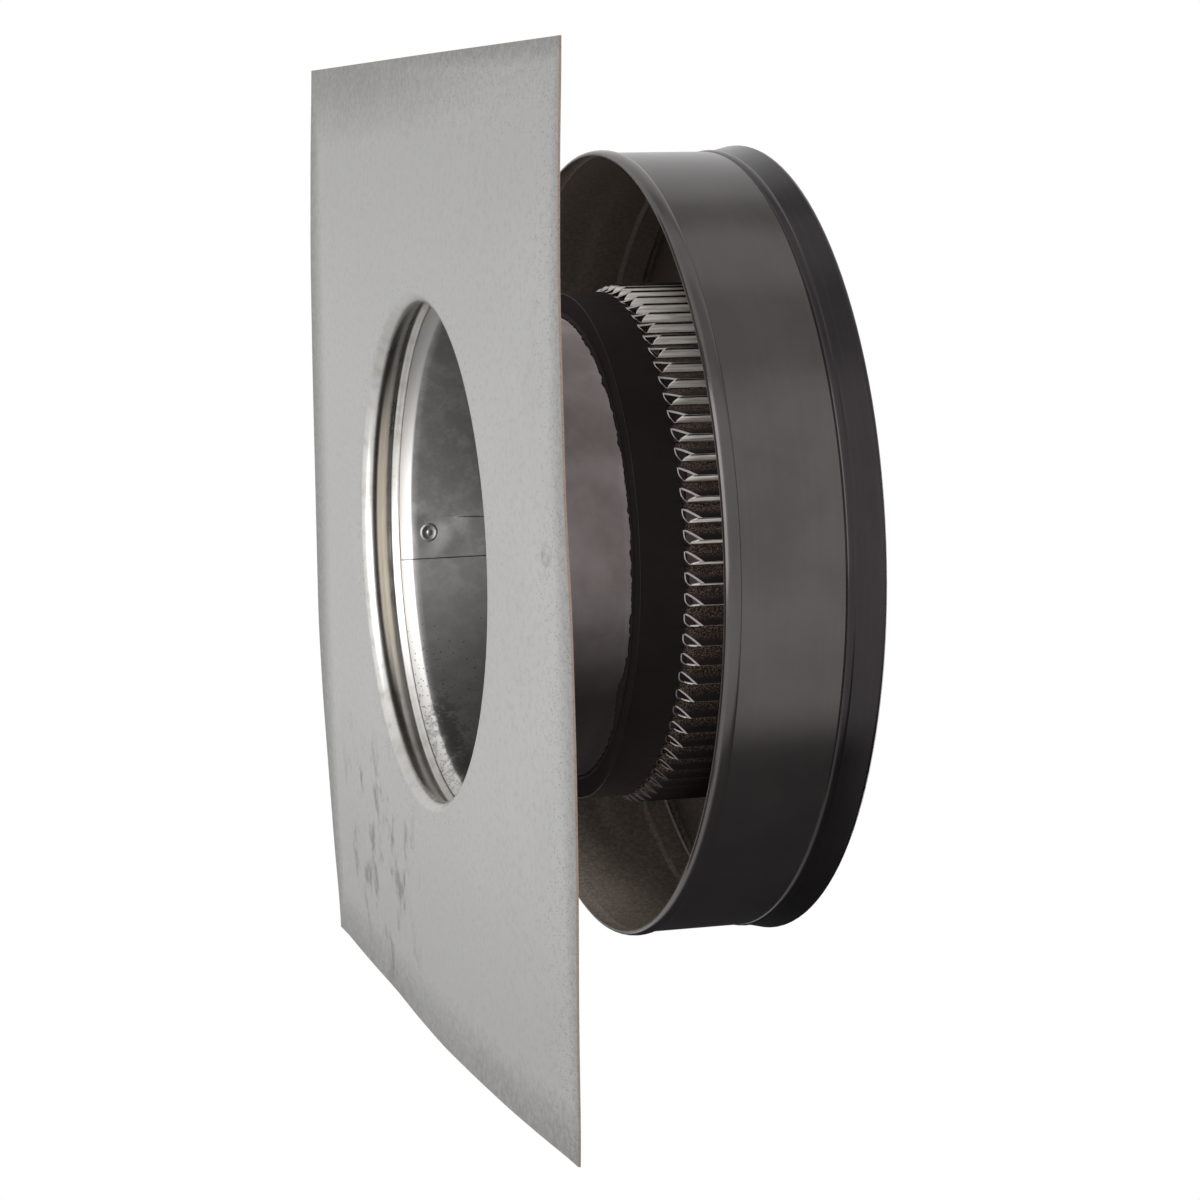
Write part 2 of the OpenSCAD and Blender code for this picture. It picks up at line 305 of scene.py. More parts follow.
def specks_group():
    """Small dots: one in each cell of a Voronoi grid, shown where a slow noise lets them."""
    tree, enter, leave = new_group(
        "spray specks",
        [("Place", "NodeSocketVector"), ("Size", "NodeSocketFloat"), ("Amount", "NodeSocketFloat")],
        [("Mask", "NodeSocketFloat")],
    )
    cells = tree.nodes.new("ShaderNodeTexVoronoi")
    link(tree, enter.outputs["Place"], cells.inputs["Vector"])
    link(tree, enter.outputs["Size"], cells.inputs["Scale"])
    dot = remap(tree, cells.outputs["Distance"], 0.12, 0.30, 1.0, 0.0)
    tone = tree.nodes.new("ShaderNodeSeparateColor")
    link(tree, cells.outputs["Color"], tone.inputs["Color"])
    kept = math_node(tree, "LESS_THAN", tone.outputs["Red"], enter.outputs["Amount"])
    link(tree, product(tree, dot, kept), leave.inputs["Mask"])
    return tree


def rolled_group():
    """Rolling lines: noise drawn out along one axis, with a cloudy noise over it."""
    tree, enter, leave = new_group(
        "rolled sheet",
        [("Place", "NodeSocketVector"), ("Fine", "NodeSocketFloat")],
        [("Lines", "NodeSocketFloat"), ("Clouds", "NodeSocketFloat")],
    )
    lines = tree.nodes.new("ShaderNodeTexNoise")
    link(tree, stretched(tree, enter.outputs["Place"], (1.0, 0.04, 1.0)), lines.inputs["Vector"])
    link(tree, enter.outputs["Fine"], lines.inputs["Scale"])
    link(tree, lines.outputs["Fac"], leave.inputs["Lines"])
    link(tree, noise(tree, enter.outputs["Place"], 14.0, 6.0, 0.6), leave.inputs["Clouds"])
    return tree


SPECKS = specks_group()
ROLLED = rolled_group()
print("groups:", SPECKS.name, ",", ROLLED.name)

# %% [markdown]
# ## World
#
# The ground is white for the camera and for reflections through Light Path, and the light on
# the object stays at a plain level. The dark gloss of the hood mirrors a ring of light and dark
# panels, which could be real cards in the scene; here they are a colour ramp over the direction
# in the world. The world isn't sampled as a lamp, so that each kind of ray sees its own level.

# %% World
WORLD_LIGHT = 0.42
GLOSSY_WHITE = 0.9
# Direction round the vent's axis in degrees, and the level that the gloss mirrors from there.
PANELS = [
    (-180, 0.30), (-166, 0.03), (-120, 0.02), (-56, 0.06),
    (-44, 0.78), (-10, 0.94), (38, 0.90), (51, 0.84),
    (57, 0.56), (80, 0.54), (86, 0.84), (105, 0.84),
    (110, 0.50), (118, 0.48), (125, 0.78), (180, 0.90),
]


def mirrored_level(tree, way):
    """Level that reflections see in a direction: white below the flange, and above it a colour
    ramp over the angle round the vent's axis."""
    turn = math_node(tree, "ARCTAN2", way.outputs[1], product(tree, way.outputs[0], -1.0))
    panels = tree.nodes.new("ShaderNodeValToRGB")
    link(tree, remap(tree, turn, -np.pi, np.pi, linear=True), panels.inputs["Fac"])
    stops = panels.color_ramp.elements
    while len(stops) < len(PANELS):
        stops.new(0.5)
    for stop, (degrees, level) in zip(stops, PANELS):
        stop.position = (degrees + 180) / 360
        stop.color = (level, level, level, 1)
    below = remap(tree, way.outputs[2], 0.06, -0.18)
    return product(tree, largest(tree, panels.outputs["Color"], below), GLOSSY_WHITE)


def make_world():
    """White for camera and transmission rays, the ring of panels for reflections, and one plain
    grey level for all else."""
    world = bpy.data.worlds.new("studio")
    bpy.context.scene.world = world
    world.use_nodes = True
    world.cycles.sampling_method = "NONE"
    tree = world.node_tree
    tree.nodes.clear()
    path = tree.nodes.new("ShaderNodeLightPath")
    seen = largest(tree, path.outputs["Is Camera Ray"], path.outputs["Is Transmission Ray"])
    way = tree.nodes.new("ShaderNodeSeparateXYZ")
    link(tree, tree.nodes.new("ShaderNodeTexCoord").outputs["Generated"], way.inputs[0])
    level = tree.nodes.new("ShaderNodeMix")
    link(tree, path.outputs["Is Glossy Ray"], level.inputs[0])
    level.inputs[2].default_value = WORLD_LIGHT
    link(tree, mirrored_level(tree, way), level.inputs[3])
    ground = tree.nodes.new("ShaderNodeBackground")
    ground.inputs["Color"].default_value = (1, 1, 1, 1)
    link(tree, largest(tree, seen, level.outputs[0]), ground.inputs["Strength"])
    out = tree.nodes.new("ShaderNodeOutputWorld")
    link(tree, ground.outputs[0], out.inputs["Surface"])


make_world()
print("world light:", WORLD_LIGHT)

# %% [markdown]
# ## Floor
#
# The photograph has a plain white ground, and shows the vent from below. A solid floor would
# hide it from there, so the floor's underside is clear. It takes the vent's shadow in other
# views, and only the camera sees it, so that it adds no light to the object.

# %% Floor
FLOOR_Z = -0.0006


def make_floor():
    """A wide pale square just under the flange, clear from below and to all but camera rays."""
    half = 6.0
    floor = mesh_from(
        "floor",
        [(-half, -half, FLOOR_Z), (half, -half, FLOOR_Z), (half, half, FLOOR_Z), (-half, half, FLOOR_Z)],
        [[0, 1, 2, 3]],
        False,
    )
    material = bpy.data.materials.new("floor paper")
    material.use_nodes = True
    tree = material.node_tree
    tree.nodes.clear()
    back = tree.nodes.new("ShaderNodeNewGeometry")
    paper = tree.nodes.new("ShaderNodeBsdfDiffuse")
    paper.inputs["Color"].default_value = (0.86, 0.86, 0.86, 1)
    clear = tree.nodes.new("ShaderNodeBsdfTransparent")
    mix = tree.nodes.new("ShaderNodeMixShader")
    link(tree, back.outputs["Backfacing"], mix.inputs[0])
    link(tree, paper.outputs[0], mix.inputs[1])
    link(tree, clear.outputs[0], mix.inputs[2])
    out = tree.nodes.new("ShaderNodeOutputMaterial")
    link(tree, mix.outputs[0], out.inputs["Surface"])
    floor.data.materials.append(material)
    floor.visible_shadow = False
    floor.visible_diffuse = False
    floor.visible_glossy = False
    return floor


floor = make_floor()
print("floor at", FLOOR_Z)

# %% [markdown]
# ## Lamps
#
# Wide soft lamps stand round the vent, as in a studio: large ones in front and below, small
# ones for the edges. One bright lamp would leave the lower half black. Those that would show
# as white patches in the hood's gloss light rough surfaces only.

# %% Lamps
MIDDLE = (0, 0, 0.07)


def make_lamp(name, at, aim, width, height, watts, mirrored=True):
    """A soft lamp of some width and height at a place, turned to face a point. One that isn't
    mirrored lights rough surfaces and leaves the dark gloss of the hood alone."""
    data = bpy.data.lights.new(name, "AREA")
    data.shape = "RECTANGLE"
    data.size = width
    data.size_y = height
    data.energy = watts
    lamp = bpy.data.objects.new(name, data)
    away = np.array(at, float) - np.array(aim, float)
    away /= np.linalg.norm(away)
    side = np.cross([0, 0, 1], away)
    side /= np.linalg.norm(side)
    up = np.cross(away, side)
    columns = np.column_stack([side, up, away])
    lamp.matrix_world = Matrix([list(columns[i]) + [at[i]] for i in range(3)] + [[0, 0, 0, 1]])
    lamp.visible_camera = False
    lamp.visible_glossy = mirrored
    bpy.context.scene.collection.objects.link(lamp)


make_lamp("front", (-1.15, 0.45, -0.95), MIDDLE, 1.5, 1.5, 14)
make_lamp("key", (-0.95, 1.25, -0.40), MIDDLE, 0.7, 0.6, 15, False)
make_lamp("low_side", (-0.95, -1.15, -0.42), MIDDLE, 0.6, 0.5, 14, False)
make_lamp("low_fill", (-0.4, 0.1, -1.5), MIDDLE, 2.0, 0.9, 9)
make_lamp("side_high", (-1.05, 0.2, 0.98), (-0.1, 0, 0.04), 0.4, 0.4, 12, False)
make_lamp("far_fill", (0.9, 1.0, 0.06), (0, -0.12, 0.11), 0.4, 0.4, 16, False)
make_lamp("back_fill", (0.9, -0.5, 1.9), MIDDLE, 1.2, 1.2, 14)
print("lamps:", len(bpy.data.lights))

# %% [markdown]
# ## Mill-finish sheet
#
# The flange is bare rolled aluminium: grey, half matt, faintly cloudy, with dark specks where
# spray drifted over its edges. It could be one grey metal, but then it looks like plastic.
# Rolling lines, clouds, smudges and specks are mixed into colour and roughness instead. These
# helpers start a material and measure where a point lies, in metres from the axis.

# %% Material helpers
HALF = 203.2 * MM


def start_material(name, roughness, metallic, specular=0.5):
    """A new material with a Principled shader, and the object place that its pattern reads."""
    material = bpy.data.materials.new(name)
    material.use_nodes = True
    tree = material.node_tree
    shader = tree.nodes["Principled BSDF"]
    shader.inputs["Roughness"].default_value = roughness
    shader.inputs["Metallic"].default_value = metallic
    shader.inputs["Specular IOR Level"].default_value = specular
    place = tree.nodes.new("ShaderNodeTexCoord").outputs["Object"]
    return material, tree, shader, place


def bump(tree, shader, height, strength, distance):
    """A Bump node from a height to the shader's normal."""
    node = tree.nodes.new("ShaderNodeBump")
    node.inputs["Strength"].default_value = strength
    node.inputs["Distance"].default_value = distance
    link(tree, height, node.inputs["Height"])
    link(tree, node.outputs["Normal"], shader.inputs["Normal"])


def polar(tree, place):
    """Splits a place into its distance from the axis and its x, y and height sockets."""
    split = tree.nodes.new("ShaderNodeSeparateXYZ")
    link(tree, place, split.inputs[0])
    x, y, z = split.outputs
    squares = math_node(tree, "ADD", product(tree, x, x), product(tree, y, y))
    return math_node(tree, "SQRT", squares), x, y, z


def facing_out(tree):
    """How far the surface faces outwards: the radial part of its normal, plus 0.3 of its upward
    part where it faces up, so that a level top counts as outside too."""
    coordinates = tree.nodes.new("ShaderNodeTexCoord")
    normal = tree.nodes.new("ShaderNodeSeparateXYZ")
    link(tree, coordinates.outputs["Normal"], normal.inputs[0])
    radius, x, y, _ = polar(tree, coordinates.outputs["Object"])
    along = math_node(tree, "ADD", product(tree, normal.outputs[0], x), product(tree, normal.outputs[1], y))
    upward = product(tree, largest(tree, normal.outputs[2], 0.0), 0.3)
    return math_node(tree, "ADD", math_node(tree, "DIVIDE", along, radius), upward)


print("material helpers ready")

# %% [markdown]
# ### Marks on the sheet
#
# The sheet has been handled, sprayed past and drawn up round its hole, so it is specked near its
# edges and smudged low down. It is also darker towards its edges and ends, and bright on the
# neck, partly from polish and partly as painted highlight. One even dirt layer would miss that.
# Each mark is a function: ramps over place, height or radius say where it lies, and noise breaks
# it up.

# %% Marks on the sheet
STAIN_AT = (-0.183, 0.021, 0.0)


def edge_and_end_darkening(tree, place, mottle):
    """Share of darkening: the largest of five ramps towards the edges, broken up by the
    mottling, over a faint darkening towards both ends of the sheet."""
    _, x, y, _ = polar(tree, place)
    edges = largest(
        tree,
        remap(tree, x, 0.170, 0.2025),
        remap(tree, x, -0.186, -0.2035, 0.0, 0.70),
        remap(tree, math_node(tree, "ABSOLUTE", y), 0.186, 0.2030),
        remap(tree, y, -0.160, -0.2035),
        product(tree, remap(tree, y, 0.145, 0.2030), remap(tree, x, -0.16, 0.12, 0.50, 1.0)),
    )
    edge_darkening = product(tree, edges, remap(tree, mottle, 0.30, 0.62, 0.66, 1.0))
    upper = remap(tree, y, 0.04, 0.20, 0.0, 0.32)
    lower = remap(tree, y, -0.06, -0.20, 0.0, 0.40)
    return largest(tree, edge_darkening, upper, lower)


def drift_share(tree, place):
    """Share of spray specks: along the near edge, near the upper corner and round the lip."""
    radius, x, y, z = polar(tree, place)
    near = remap(tree, x, -0.203, -0.165, 1.0, 0.0)
    corner = product(tree, remap(tree, y, 0.155, 0.203, 0.0, 0.7), remap(tree, x, 0.06, -0.12, 0.35, 1.0))
    rim = product(tree, remap(tree, radius, 0.122, 0.1105), remap(tree, z, 0.012, 0.003, 0.0, 0.35))
    return product(tree, largest(tree, near, corner, rim), 0.9)


def smudges(tree, place):
    """Rubbed marks: drawn out noise, shown in one lower patch and in a small stain at the near
    edge, which fades with the distance from its middle."""
    _, x, y, _ = polar(tree, place)
    patch = product(
        tree,
        remap(tree, x, 0.0, 0.05),
        remap(tree, x, 0.175, 0.135),
        remap(tree, math_node(tree, "ABSOLUTE", y), 0.085, 0.115),
        remap(tree, y, 0.0, -0.05, 0.0, 0.8),
    )
    stain = tree.nodes.new("ShaderNodeVectorMath")
    stain.operation = "DISTANCE"
    link(tree, stretched(tree, place, (1.0, 1.3, 0.0)), stain.inputs[0])
    stain.inputs[1].default_value = STAIN_AT
    where = largest(tree, patch, remap(tree, stain.outputs["Value"], 0.012, 0.002, 0.0, 0.9))
    rubbed = noise(tree, stretched(tree, place, (1, 0.7, 1)), 60.0, 5.0, 0.68)
    return product(tree, remap(tree, rubbed, 0.50, 0.66), where)


print("marks ready")

# %% [markdown]
# ### The drawn neck
#
# Drawing polished the neck, and it is painted brighter than the sheet, partly for that polish
# and partly as a painted highlight. Its one channel shows as a tan band, which is a painted
# reflection of the collar inside, and the neck is darker towards its upper and lower sides as
# painted shade. The whole sheet in that colour would look like brass, so two masks keep it in
# its place: one for the neck, by its radius and height, and one for the channel, by height and
# by side.

# %% The drawn neck


def neck_polish_and_painted_light(tree, place):
    """Colour of the drawn neck, brighter than the sheet partly from polish and partly as painted
    highlight, with a painted reflection in tan along the channel in its middle and painted shade
    towards its upper and lower sides; then the neck's mask and the channel's mask."""
    radius, _, y, z = polar(tree, place)
    drawn = product(tree, remap(tree, radius, 0.1125, 0.1095), remap(tree, z, 0.0001, 0.0007))
    channel = product(
        tree,
        remap(tree, z, 0.0055, 0.0075),
        remap(tree, z, 0.0125, 0.0108),
        remap(tree, math_node(tree, "ABSOLUTE", y), 0.085, 0.035),
    )
    patina = noise(tree, stretched(tree, place, (1, 1, 0.6)), 95.0, 5.0, 0.65)
    # The neck's brighter grey is partly polish and partly a painted highlight.
    colour = mix_colour(tree, remap(tree, patina, 0.42, 0.70), (0.76, 0.75, 0.725), (0.58, 0.55, 0.50))
    # The tan on the channel is a painted reflection of the collar inside.
    colour = mix_colour(tree, channel, colour, (0.95, 0.85, 0.70))
    # Painted shade: the neck is darker towards its upper and lower sides.
    colour = mix_colour(tree, remap(tree, y, 0.015, 0.090, 0.0, 0.62), colour, (0.20, 0.195, 0.185))
    colour = mix_colour(tree, remap(tree, y, -0.068, -0.104, 0.0, 0.52), colour, (0.34, 0.33, 0.315))
    return colour, drawn, product(tree, channel, drawn)


print("neck ready")

# %% [markdown]
# ### The bare metals
#
# One layer after another is mixed over the grey: rolling, mottling, darkening towards the
# edges, specks, smudges, and the drawn neck with its painted highlight, shade and reflection over
# all of them. Two materials for sheet and neck would meet in a hard line, so masks blend them in
# one. The rivets are the same metal, turned bright.

# %% Materials: bare metal


def mill_sheet():
    """Grey rolled sheet: clouds, faint lines and fine mottling, then darkening towards the edges,
    drifted specks, smudges, a coppery near edge and the brighter neck, whose colour holds painted
    highlight, shade and reflection."""
    material, tree, shader, place = start_material("mill sheet", 0.42, 1.0)
    rolled = use_group(tree, ROLLED, Place=place, Fine=420.0)
    base = mix_colour(tree, rolled.outputs["Clouds"], (0.445, 0.441, 0.434), (0.535, 0.53, 0.522))
    lines = remap(tree, rolled.outputs["Lines"], 0.42, 0.62, 0.0, 0.04)
    base = mix_colour(tree, lines, base, (0.42, 0.415, 0.405))
    mottle = noise(tree, place, 330.0, 4.0, 0.75)
    base = mix_colour(tree, remap(tree, mottle, 0.46, 0.70, 0.0, 0.55), base, (0.37, 0.366, 0.358))
    base = mix_colour(tree, edge_and_end_darkening(tree, place, mottle), base, (0.23, 0.226, 0.219))
    dots = use_group(tree, SPECKS, Place=place, Size=800.0, Amount=drift_share(tree, place))
    base = mix_colour(tree, product(tree, dots.outputs["Mask"], 0.85), base, (0.10, 0.09, 0.085))
    base = mix_colour(tree, smudges(tree, place), base, (0.16, 0.155, 0.15))
    _, x, _, _ = polar(tree, place)
    base = mix_colour(tree, remap(tree, x, -0.2022, -0.2030, 0.0, 0.5), base, (0.36, 0.24, 0.17))
    neck_colour_and_highlight, drawn, channel = neck_polish_and_painted_light(tree, place)
    link(tree, mix_colour(tree, drawn, base, neck_colour_and_highlight), shader.inputs["Base Color"])
    link(tree, remap(tree, channel, 0.0, 1.0, 1.0, 0.45), shader.inputs["Metallic"])
    dull = remap(tree, rolled.outputs["Clouds"], 0.3, 0.7, 0.38, 0.48)
    link(tree, math_node(tree, "SUBTRACT", dull, product(tree, drawn, 0.14)), shader.inputs["Roughness"])
    bump(tree, shader, rolled.outputs["Lines"], 0.01, 0.0003)
    return material


def bare_rivet():
    """Bare turned aluminium, a little brighter than the sheet, with a faint turning mark."""
    material, tree, shader, place = start_material("bare rivet", 0.38, 1.0)
    clouds = noise(tree, place, 900.0)
    base = mix_colour(tree, clouds, (0.46, 0.455, 0.445), (0.64, 0.635, 0.62))
    link(tree, base, shader.inputs["Base Color"])
    bump(tree, shader, clouds, 0.12, 0.0002)
    return material


MILL = mill_sheet()
BARE = bare_rivet()
print("bare metal:", MILL.name, ",", BARE.name)

# %% [markdown]
# ## Dark bronze spray
#
# The hood, collar and drum are sprayed a brown so dark that it reads as grey in the light.
# The gloss differs: smooth on the hood's outside, dry and speckled inside where only mist
# reached, with painted light that makes the inside lighter low down. One function makes both
# sides, and the normal tells them apart. The skirt's upper cut edge stayed bare inside the cap;
# it is shown only low down, as a light arc that is a painted highlight.

# %% Materials: paint
# Height in metres of the skirt's upper cut edge, which stands inside the cap.
CUT_Z = 0.1372


def inside_dust_and_painted_light(tree, place, colour, share, settled):
    """Colour of the face towards the axis: coarse grains and dots of settled dust over brown,
    both lighter low down as painted light, and a bare line about a millimetre wide along the cut
    edge, shown only low down as a painted highlight."""
    _, _, y, z = polar(tree, place)
    # The lighter colour low down is painted light.
    low = remap(tree, y, -0.02, -0.13, 0.0, 0.8)
    ground = mix_colour(tree, low, colour, settled)
    mist = mix_colour(tree, low, settled, tuple(c * 2.0 for c in settled))
    coarse = noise(tree, place, 620.0, 5.0, 0.75)
    inside = mix_colour(tree, remap(tree, coarse, 0.40, 0.66, 0.0, 0.8), ground, mist)
    dots = use_group(tree, SPECKS, Place=place, Size=900.0, Amount=share)
    inside = mix_colour(tree, product(tree, dots.outputs["Mask"], 0.7), inside, mist)
    # The cut edge is bare metal; its near white, shown only low down, is a painted highlight.
    cut = product(
        tree,
        remap(tree, z, CUT_Z - 0.0013, CUT_Z - 0.0009),
        remap(tree, z, CUT_Z + 0.0004, CUT_Z),
        remap(tree, y, -0.05, -0.11),
    )
    return mix_colour(tree, cut, inside, (0.98, 0.92, 0.84))


def sprayed(name, colour, roughness, round_lines, dust_colour, specular, flake, inner=None):
    """Dark paint: a cloudy colour with faint lines round the axis, whose metal flake makes it
    mirror its surroundings. inner is the colour, the roughness, the share of dust dots and the
    dust's colour for the face towards the axis."""
    material, tree, shader, place = start_material(name, roughness, 0.0, specular)
    clouds = noise(tree, place, 11.0, 5.0, 0.6)
    lighter = tuple(c * 1.3 for c in colour)
    base = mix_colour(tree, remap(tree, clouds, 0.35, 0.65), colour, lighter)
    lines = noise(tree, stretched(tree, place, (16, 16, 760)), 1.0, 4.0, 0.7)
    base = mix_colour(tree, remap(tree, lines, 0.42, 0.72, 0.0, round_lines), base, dust_colour)
    grain = noise(tree, place, 2600.0, 2.0)
    gloss = remap(tree, clouds, 0.3, 0.75, roughness * 0.85, min(1.0, roughness * 1.25))
    outside = remap(tree, facing_out(tree), -0.15, 0.15)
    if inner:
        inner_colour, inner_roughness, share, settled = inner
        inside = inside_dust_and_painted_light(tree, place, inner_colour, share, settled)
        base = mix_colour(tree, outside, inside, base)
        blend = tree.nodes.new("ShaderNodeMix")
        link(tree, outside, blend.inputs[0])
        blend.inputs[2].default_value = inner_roughness
        link(tree, gloss, blend.inputs[3])
        gloss = blend.outputs[0]
    link(tree, base, shader.inputs["Base Color"])
    link(tree, gloss, shader.inputs["Roughness"])
    link(tree, product(tree, outside, flake), shader.inputs["Metallic"])
    bump(tree, shader, grain, 0.05, 0.0002)
    return material


INSIDE = ((0.19, 0.147, 0.122), 0.6, 0.4, (0.30, 0.25, 0.215))
HOOD = sprayed("hood bronze", (0.090, 0.081, 0.081), 0.16, 0.12, (0.17, 0.145, 0.13), 0.5, 0.9, INSIDE)
CAP = sprayed("cap bronze", (0.036, 0.032, 0.034), 0.18, 0.12, (0.10, 0.085, 0.078), 0.4, 0.9, INSIDE)
RING = sprayed("ring bronze", (0.036, 0.029, 0.028), 0.9, 0.05, (0.050, 0.041, 0.039), 0.0, 0.0)
print("paints:", HOOD.name, ",", CAP.name, ",", RING.name)

# %% [markdown]
# ## Base flange
#
# On the real vent the sheet isn't flat. It bows a few millimetres, most at its corners, and is
# drawn into a rounded lip and a neck with one channel. A flat plate with a hole loses all of
# that, so the sheet is one grid round the axis. These functions give the edge, its bow and
# the neck's wave.

# %% Flange shape
THROAT_R = 103.5
FLANGE_T = 0.9
LIP_R = THROAT_R - 0.3
LIP_W = 6.6
LIP_H = 4.4
NECK_H = 17.4
NECK_R = THROAT_R + 4.7
NECK_BEAD = 2.4
NECK_SKEW = 2.0
AROUND = 480
EDGE_HEIGHTS = [
    (-180, 5.0), (-166, 5.8), (-154, 6.0), (-143, 5.4), (-135, 5.6), (-129, 3.2),
    (-121, 1.4), (-110, 0.5), (-97, 0.2), (-82, 1.8), (-70, 3.9), (-60, 4.9),
    (-51, 6.4), (-45, 8.0), (-40, 5.4), (-33, 3.4), (-24, 1.2), (-15, 0.0),
    (-6, 0.0), (6, 0.0), (18, 0.0), (30, 0.3), (40, 1.6), (45, 3.1), (90, 2.4),
    (135, 4.2), (141, 2.9), (150, 2.2), (160, 2.8), (170, 3.4), (180, 5.0),
]


def square_reach(angle):
    """Distance from the centre to the square's side at an angle: the half side over the larger
    of the angle's cos and sin."""
    return HALF / MM / np.maximum(np.abs(np.cos(angle)), np.abs(np.sin(angle)))


def edge_lift(angle):
    """Height of the bowed edge at each angle: straight lines between the heights seen along the
    four sides, rounded by a moving average of 23 half degrees."""
    at, high = np.array(EDGE_HEIGHTS, float).T
    fine = np.linspace(-np.pi, np.pi, 721)
    curve = np.interp(fine, np.radians(at), high)
    kernel = np.hanning(23)
    kernel /= kernel.sum()
    padded = np.concatenate([curve[-23:-1], curve, curve[1:23]])
    curve = np.convolve(padded, kernel, "same")[22:-22]
    return np.interp((angle + np.pi) % TAU - np.pi, fine, curve)


def neck_in(s):
    """Neck's inner radius at share s of its height: a smooth step outwards plus one wave for the
    channel, which a power of s moves towards the mouth."""
    wave = 0.5 - 0.5 * np.cos(TAU * s**NECK_SKEW)
    return LIP_R + (NECK_R - LIP_R) * ease(s, 0, 1) + NECK_BEAD * wave


print("edge height at the corners:", np.round(edge_lift(np.radians([-135, -45, 45, 135])), 1))

# %% [markdown]
# ### The sheet as one loop
#
# Two faces one thickness apart could be two meshes, but their rims would stand open. Here the
# lower face runs inwards from the square edge, over the lip and up the neck, the upper face
# runs back, and both together are one closed loop at each angle.

# %% Flange sheet


def flange_sheet():
    """Both faces of the sheet as one closed loop for each angle, with the bow added by distance."""
    angle = even_angles(AROUND)[:, None]
    share = np.linspace(1, 0, 22)[None, :]
    lip = np.radians(np.linspace(0, 90, 12))[None, 1:]
    up = np.linspace(0, 1, 34)[None, 1:]
    start = LIP_R + LIP_W
    reach = square_reach(angle)

    def face(t):
        """Radius and height along one face, which stands t away from the lower one."""
        plate_r = start + (reach - start) * share
        plate_z = t + edge_lift(angle) * share**1.7
        lip_r = (LIP_R + LIP_W - (LIP_W - t) * np.sin(lip)) * np.ones_like(angle)
        lip_z = (LIP_H - (LIP_H - t) * np.cos(lip)) * np.ones_like(angle)
        neck_r = (neck_in(up) + t) * np.ones_like(angle)
        neck_z = (LIP_H + up * (NECK_H - LIP_H)) * np.ones_like(angle)
        return np.hstack([plate_r, lip_r, neck_r]), np.hstack([plate_z, lip_z, neck_z])

    low_r, low_z = face(0.0)
    high_r, high_z = face(FLANGE_T)
    radius = np.hstack([low_r, high_r[:, ::-1]])
    height = np.hstack([low_z, high_z[:, ::-1]])
    return revolve("flange_sheet", radius, height, angle)


flange = flange_sheet()
flange.data.materials.append(MILL)
mark_sharp(flange)
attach(flange, "root")
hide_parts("flange")
print("flange faces:", len(flange.data.polygons))

# %% [markdown]
# ## Collar
#
# The collar is one strip rolled to a taper and lapped. Inside it is bare, outside it is sprayed.
# Its lap, the small dent that the rivet pulls, and the flared foot show through the hole. A
# plain cone has none of these, so both walls are one grid, and the lap and dent are added to
# the inner radius as functions of angle and height.

# %% Collar shape
COLLAR_T = 0.8
DRUM_R = 105.8
COLLAR_TOP_R = DRUM_R - 9.5
RING_Z = 62.4
COLLAR_FOOT_Z = NECK_H + 0.3
FLARE_Z = NECK_H + 4.8
CONE_TOP_Z = RING_Z - 2.5
COLLAR_TOP_Z = RING_Z + 11.5
COLLAR_TOP_IN = COLLAR_TOP_R - COLLAR_T
RIVET_ANGLE = np.radians(-1.75)
RIVET_Z = FLARE_Z + 7.3
LAP_LOW = np.radians(-8.3)
LAP_HIGH = np.radians(2.1)
LAP_STEP = np.radians(0.12)


def collar_angles():
    """Even angles round the collar, with more of them across the lap and close by its two edges."""
    across = np.radians(np.linspace(-7.6, 1.2, 44))
    low_edge = LAP_LOW + np.arange(-2, 2) * LAP_STEP
    high_edge = LAP_HIGH + np.arange(-3, 2) * LAP_STEP
    return np.unique(np.concatenate([even_angles(420) - np.pi, across, low_edge, high_edge]))


def collar_sheet():
    """Loop of inner wall up and outer wall down. The lap adds one thickness inwards between its
    two edges, and the rivet's dent is a bell curve with a shallow ring round it."""
    angle = collar_angles()
    z = np.concatenate([
        np.linspace(COLLAR_FOOT_Z, FLARE_Z, 8),
        np.linspace(FLARE_Z, CONE_TOP_Z, 40)[1:],
        np.linspace(CONE_TOP_Z, COLLAR_TOP_Z, 5)[1:],
    ])
    corners = [COLLAR_FOOT_Z, FLARE_Z, CONE_TOP_Z, COLLAR_TOP_Z]
    wall = np.interp(z, corners, [NECK_R - 0.2, THROAT_R, COLLAR_TOP_IN, COLLAR_TOP_IN])
    bend = 0.35 * np.exp(-(((z - FLARE_Z) / 1.1) ** 2))
    inner = np.tile(wall + bend, (len(angle), 1))
    outer = inner + np.interp(z, corners[:2], [1.3, COLLAR_T])
    a = angle[:, None]
    over_low = ease(a, LAP_LOW - LAP_STEP / 2, LAP_LOW + LAP_STEP / 2)
    over_high = ease(a, LAP_HIGH - LAP_STEP, LAP_HIGH + LAP_STEP / 2)
    lap = over_low * (1 - over_high)
    faded = 1 - ease(a, np.radians(-4.5), LAP_HIGH) * (1 - 0.8 * ease(z, 38, 48))
    in_cone = 1 - ease(z, RING_Z - 0.8, RING_Z)
    inner -= COLLAR_T * lap * faded * in_cone
    reach = np.hypot((a - RIVET_ANGLE) * THROAT_R, z - RIVET_Z)
    inner += 0.45 * np.exp(-((reach / 6.5) ** 2)) - 0.25 * np.exp(-(((reach - 9) / 4.0) ** 2))
    radius = np.hstack([inner, outer[:, ::-1]])
    height = np.tile(np.concatenate([z, z[::-1]]), (len(angle), 1))
    return revolve("collar_sheet", radius, height, angle)


collar = collar_sheet()
print("collar faces:", len(collar.data.polygons))
